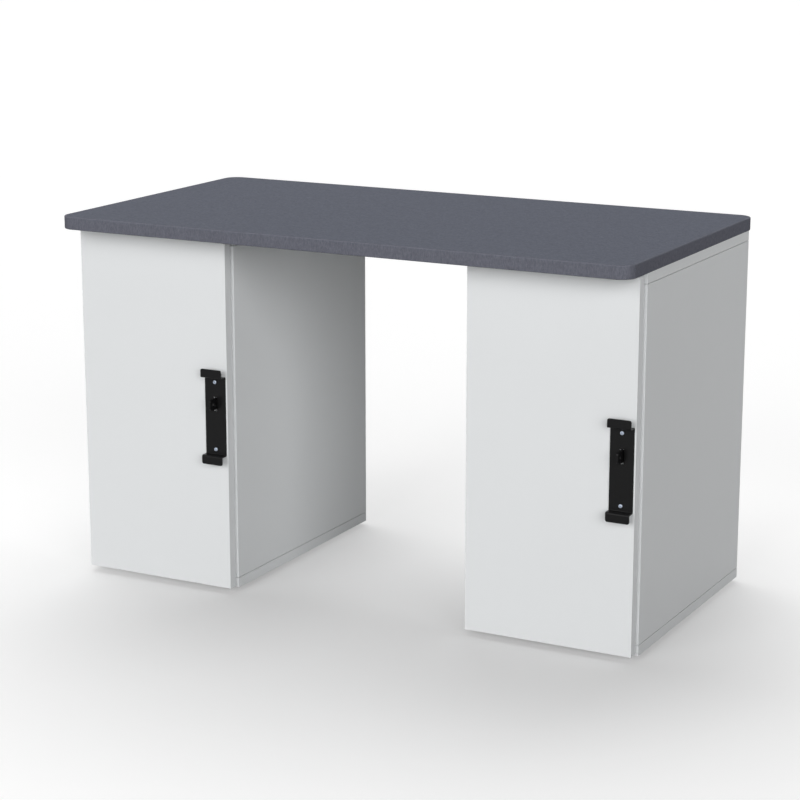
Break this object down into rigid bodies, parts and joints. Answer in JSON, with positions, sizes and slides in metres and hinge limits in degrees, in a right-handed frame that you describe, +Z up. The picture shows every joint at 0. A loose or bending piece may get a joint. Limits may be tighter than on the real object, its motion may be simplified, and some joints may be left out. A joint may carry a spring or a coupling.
{
  "type": "workbench with cabinet doors",
  "caption": "Workbench: dark laminate worktop on two white board cabinets with hinged doors, stepped pull plates and padlock staples, open knee space between.",
  "frame": {"origin": "on the floor under the middle of the worktop", "axes": "+X to the right of a person facing the doors, +Y from the doors to the back, +Z up"},
  "size_m": [1.185, 0.63, 0.73],
  "materials": {
    "white_board": "white melamine-faced board with edging, satin",
    "raw_board": "raw particle board",
    "grey_laminate": "blue-grey laminate with a fine linen grain, matt",
    "grey_edging": "blue-grey edging with a fine upright grain, matt",
    "backing_sheet": "brown balancing sheet, matt",
    "black_steel": "black powder coat, fine texture",
    "zinc_steel": "bright zinc plate",
    "nickel_steel": "satin nickel plate",
    "grey_plastic": "moulded, matt",
    "clear_rubber": "clear soft buffer"
  },
  "bodies": {
    "bench": {"worktop_core": "raw_board", "worktop_laminate": "grey_laminate", "worktop_backing": "backing_sheet", "worktop_edging": "grey_edging", "left_cabinet_bottom": "white_board", "left_cabinet_top": "white_board", "left_cabinet_left_side": "white_board", "left_cabinet_right_side": "white_board", "left_cabinet_back": "white_board", "left_cabinet_shelf": "white_board", "left_shelf_pin_1": "nickel_steel", "left_shelf_pin_2": "nickel_steel", "left_shelf_pin_3": "nickel_steel", "left_shelf_pin_4": "nickel_steel", "left_glide_1": "grey_plastic", "left_glide_2": "grey_plastic", "left_glide_3": "grey_plastic", "left_glide_4": "grey_plastic", "left_staple": "black_steel", "left_hinge_arm_upper": "nickel_steel", "left_hinge_arm_lower": "nickel_steel", "right_cabinet_bottom": "white_board", "right_cabinet_top": "white_board", "right_cabinet_left_side": "white_board", "right_cabinet_right_side": "white_board", "right_cabinet_back": "white_board", "right_cabinet_shelf": "white_board", "right_shelf_pin_1": "nickel_steel", "right_shelf_pin_2": "nickel_steel", "right_shelf_pin_3": "nickel_steel", "right_shelf_pin_4": "nickel_steel", "right_glide_1": "grey_plastic", "right_glide_2": "grey_plastic", "right_glide_3": "grey_plastic", "right_glide_4": "grey_plastic", "right_staple": "black_steel", "right_hinge_arm_upper": "nickel_steel", "right_hinge_arm_lower": "nickel_steel"},
    "left_door_leaf": {"left_door": "white_board", "left_handle": "black_steel", "left_handle_screw_upper": "zinc_steel", "left_bumper_upper": "clear_rubber", "left_hinge_cup_upper": "nickel_steel", "left_hinge_pin_upper": "nickel_steel", "left_handle_screw_lower": "zinc_steel", "left_bumper_lower": "clear_rubber", "left_hinge_cup_lower": "nickel_steel", "left_hinge_pin_lower": "nickel_steel"},
    "right_door_leaf": {"right_door": "white_board", "right_handle": "black_steel", "right_handle_screw_upper": "zinc_steel", "right_bumper_upper": "clear_rubber", "right_hinge_cup_upper": "nickel_steel", "right_hinge_pin_upper": "nickel_steel", "right_handle_screw_lower": "zinc_steel", "right_bumper_lower": "clear_rubber", "right_hinge_cup_lower": "nickel_steel", "right_hinge_pin_lower": "nickel_steel"}
  },
  "joints": [
    {"name": "left_door_hinge", "type": "hinge", "parent": "bench", "child": "left_door_leaf", "pos_m": [-0.577, -0.2435, 0.3565], "axis": [0, 0, -1], "range_deg": [0, 95]},
    {"name": "right_door_hinge", "type": "hinge", "parent": "bench", "child": "right_door_leaf", "pos_m": [0.264, -0.2435, 0.3565], "axis": [0, 0, -1], "range_deg": [0, 95]}
  ]
}
